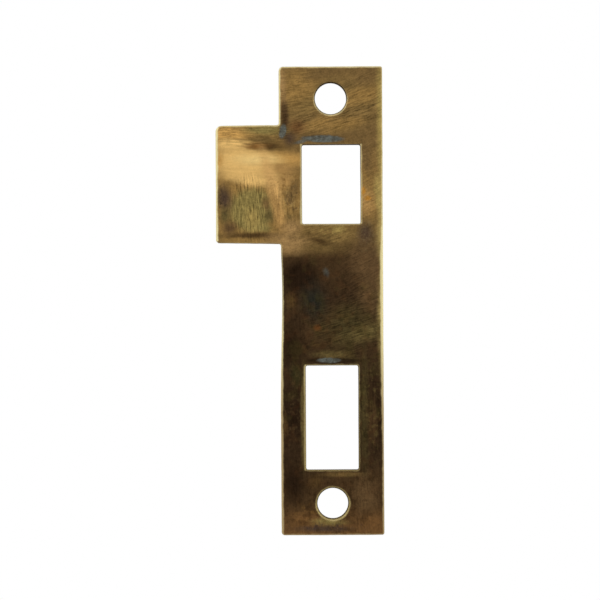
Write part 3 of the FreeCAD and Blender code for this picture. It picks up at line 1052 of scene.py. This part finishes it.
def lay_rust(finish, place, front, surface):
    ragged = finish.drift(place, *RUST_RAGGED, SEEDS["ragged_rust"])
    for code, spot in RUST_SPOTS:
        mask = finish.oval(ragged, spot, feather=0.7) * front * RUST_COVER
        surface = finish.mix(mask, surface, colour(code))
    return surface


def wall_colour(finish, pierced):
    """Colour of the cut walls. In the openings those that face up get painted light, those that face down
    painted shade.
    """
    facing_up = finish.height(finish.node("ShaderNodeNewGeometry", output=1))
    # Walls facing up are painted light and walls facing down painted shade.
    inner = finish.mix(finish.step(facing_up, *PAINTED_LIGHT_FACING), PIERCED_SHADE, PIERCED_LIGHT)
    return finish.mix(pierced, OUTER_WALL, inner)


def back_tarnish(finish, place):
    """Colour of the back: plain tarnish with clouds and upright strokes of rubbed metal."""
    lines = finish.turned(place, BACK_STROKE_ANGLE, BACK_STROKE_STRETCH)
    strokes = finish.noise(lines, BACK_STROKE_WIDTH, SEEDS["back_strokes"])
    clouds = finish.noise(place, BACK_CLOUD_SIZE, SEEDS["back_clouds"], detail=6.0)
    rubbed = finish.step(clouds + strokes * BACK_STROKE_SHARE, *BACK_LEVELS)
    return finish.mix(rubbed, BACK_TARNISH, BACK_RUBBED)


def lay_wall_dirt_and_shade(finish, depth, dirt_depth, pierced, surface):
    """Darken the cut walls with dirt and painted shade, from the depth at which they start down to the
    back's arris.
    """
    wall = finish.step(depth, dirt_depth, dirt_depth * DIRT_AND_SHADE_FULL)
    wall = wall * finish.fall(depth, *(THICKNESS - end for end in WALL_ENDS))
    return finish.mix(wall * WALL_COVER, surface, wall_colour(finish, pierced))


def rub_edges(finish, place, depth, dirt_depth, pierced, residue, surface):
    """Lay bare metal and painted highlight along the front edges, in a band as wide and bright as each edge
    is rubbed and lit.
    """
    # The rubbed attribute holds both worn metal and painted highlight.
    rubbed = finish.attribute("rubbed")
    patchy = (finish.noise(place, PATCHY_SIZE, SEEDS["patchy_wear"]) - 0.5) * PATCHY_REACH
    distance = finish.attribute("edge_distance") + patchy
    band = finish.fall(distance, BAND_FADES, BAND_WIDTH + rubbed * BAND_WIDENS)
    above_dirt_and_shade = finish.fall(depth, dirt_depth * DIRT_AND_SHADE_SHOWS, dirt_depth * DIRT_AND_SHADE_FULL)
    wear = band * rubbed * (1 - residue) * above_dirt_and_shade
    # Bare metal and painted highlight grow brighter higher up.
    high = finish.step(finish.height(place), *BRIGHT_EDGE_HEIGHTS)
    outer_metal = finish.mix(high, RUBBED_LOW, RUBBED_HIGH)
    pierced_metal = finish.mix(high, RUBBED_BOLT, RUBBED_LATCH)
    return finish.mix(wear, surface, finish.mix(pierced, outer_metal, pierced_metal))


def aged_brass():
    finish = Finish(bpy.data.materials.new("tarnished_brass"))
    place = finish.scale(finish.node("ShaderNodeTexCoord", output=3), 1 / MM)
    depth = finish.attribute("depth")
    pierced = finish.attribute("pierced")
    dirt_depth = finish.attribute("dirt_depth")
    front = finish.fall(depth, *(THICKNESS * share for share in FRONT_FADES))

    swept = finish.drift(place, *PATCH_SWEEP, SEEDS["sweep"])
    fields = brushed_fields(finish, finish.drift(swept, *PATCH_RAGGED, SEEDS["ragged_patches"]))
    surface = finish.mix(front, back_tarnish(finish, place), front_tarnish_and_reflection(finish, swept, fields))
    surface, residue = lay_residue_and_shade(finish, place, front, surface)
    surface = lay_rust(finish, place, front, surface)
    surface = finish.scale(surface, rubbing_tone(finish, swept, fields))
    surface = lay_wall_dirt_and_shade(finish, depth, dirt_depth, pierced, surface)
    surface = rub_edges(finish, place, depth, dirt_depth, pierced, residue, surface)

    lines = finish.turned(place, STREAK_ANGLE, STREAK_STRETCH)
    streaks = finish.noise(lines, STREAK_SIZE, SEEDS["streaks"])
    roughness = BRASS_ROUGHNESS + (streaks - 0.5) * STREAK_ROUGHNESS + residue * RESIDUE_ROUGHNESS
    grit = finish.noise(place, GRIT_SIZE, SEEDS["bumps"], detail=5.0)
    relief = grit * (BRASS_GRIT + residue * RESIDUE_GRIT) + streaks * STREAK_RELIEF
    bumps = {"Strength": BUMP_SHARE, "Distance": BUMP_HEIGHT, "Height": relief}
    shader = finish.node(
        "ShaderNodeBsdfPrincipled",
        inputs={
            "Base Color": surface,
            "Roughness": roughness,
            "Metallic": 1 - residue * RESIDUE_DULLNESS,
            "Specular Tint": GRAZING_TINT,
            "Normal": finish.node("ShaderNodeBump", inputs=bumps),
        },
    )
    finish.node("ShaderNodeOutputMaterial", inputs={"Surface": shader})
    return finish.owner


def make_plate():
    plate = bpy.data.objects.new("aged_plate", plate_mesh())
    bpy.context.collection.objects.link(plate)
    plate.data.materials.append(aged_brass())
    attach(plate, "root")
    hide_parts("strike_plate")


# The stage, in metres: a pale floor well below the plate, soft lamps on both sides and above, and a white
# world. The floor glows and the world is at its brightest only where they are seen.
FLOOR_HEIGHT = -0.30
FLOOR_SIZE = 1.2
FLOOR_COLOUR = (0.9, 0.9, 0.9, 1.0)
FLOOR_GLOW = (0.38, 0.38, 0.38, 1.0)
DARK = (0.0, 0.0, 0.0, 1.0)
WORLD_LIGHT = 0.55
WORLD_SEEN = 1.0
WHITE = (1.0, 1.0, 1.0, 1.0)

# Each lamp's name, place, size and power.
LAMPS = (
    ("left_lamp", (-0.45, -0.25, 0.25), 0.35, 0.6),
    ("right_lamp", (0.45, -0.20, 0.15), 0.35, 0.5),
    ("top_lamp", (0.0, -0.15, 0.55), 0.40, 0.6),
)


def shown_rays(finish):
    """1 for rays that show a surface to the eye, straight, mirrored or through something clear."""
    rays = ("Is Camera Ray", "Is Glossy Ray", "Is Transmission Ray")
    straight, mirrored, through = (finish.node("ShaderNodeLightPath", output=ray) for ray in rays)
    return finish.math("MAXIMUM", straight, finish.math("MAXIMUM", mirrored, through))


def make_floor():
    half = FLOOR_SIZE / 2
    corners = [(-half, -half), (half, -half), (half, half), (-half, half)]
    mesh = bpy.data.meshes.new("floor")
    mesh.from_pydata([(x, y, FLOOR_HEIGHT) for x, y in corners], [], [(0, 1, 2, 3)])
    floor = bpy.data.objects.new("floor", mesh)
    bpy.context.collection.objects.link(floor)
    pale = Finish(bpy.data.materials.new("pale_floor"))
    glow = pale.mix(shown_rays(pale), DARK, FLOOR_GLOW)
    light = pale.node("ShaderNodeEmission", inputs={"Color": glow})
    matt = pale.node("ShaderNodeBsdfDiffuse", inputs={"Color": FLOOR_COLOUR})
    shader = pale.node("ShaderNodeAddShader", inputs={0: matt, 1: light})
    pale.node("ShaderNodeOutputMaterial", inputs={"Surface": shader})
    mesh.materials.append(pale.owner)


def make_lamps():
    for name, place, size, power in LAMPS:
        data = bpy.data.lights.new(name, "AREA")
        data.size = size
        data.energy = power
        lamp = bpy.data.objects.new(name, data)
        lamp.location = place
        lamp.rotation_euler = (-Vector(place)).to_track_quat("-Z", "Y").to_euler()
        bpy.context.collection.objects.link(lamp)


def make_world():
    studio = Finish(bpy.data.worlds.new("studio"))
    strength = WORLD_LIGHT + shown_rays(studio) * (WORLD_SEEN - WORLD_LIGHT)
    light = studio.node("ShaderNodeBackground", inputs={"Color": WHITE, "Strength": strength})
    studio.node("ShaderNodeOutputWorld", inputs={"Surface": light})
    bpy.context.scene.world = studio.owner


# The camera stands square to the front face. Lengths are in millimetres, the roll in degrees and the
# clipping in metres.
CAMERA_DISTANCE = 600.0
CAMERA_SIDE = -6.78
CAMERA_HEIGHT = 0.17
VIEW_WIDTH = 127.8
CAMERA_ROLL = 0.30
SENSOR_WIDTH = 36.0
CLIP_START = 0.01


def make_camera():
    data = bpy.data.cameras.new("camera")
    data.sensor_width = SENSOR_WIDTH
    data.lens = SENSOR_WIDTH * CAMERA_DISTANCE / VIEW_WIDTH
    data.clip_start = CLIP_START
    camera = bpy.data.objects.new("camera", data)
    camera.location = (CAMERA_SIDE * MM, -(THICKNESS + CAMERA_DISTANCE) * MM, CAMERA_HEIGHT * MM)
    camera.rotation_euler = (math.pi / 2, math.radians(CAMERA_ROLL), 0.0)
    bpy.context.collection.objects.link(camera)
    bpy.context.scene.camera = camera


make_plate()
make_floor()
make_lamps()
make_world()
make_camera()
bpy.context.scene.view_settings.view_transform = "Standard"

bpy.context.view_layer.update()
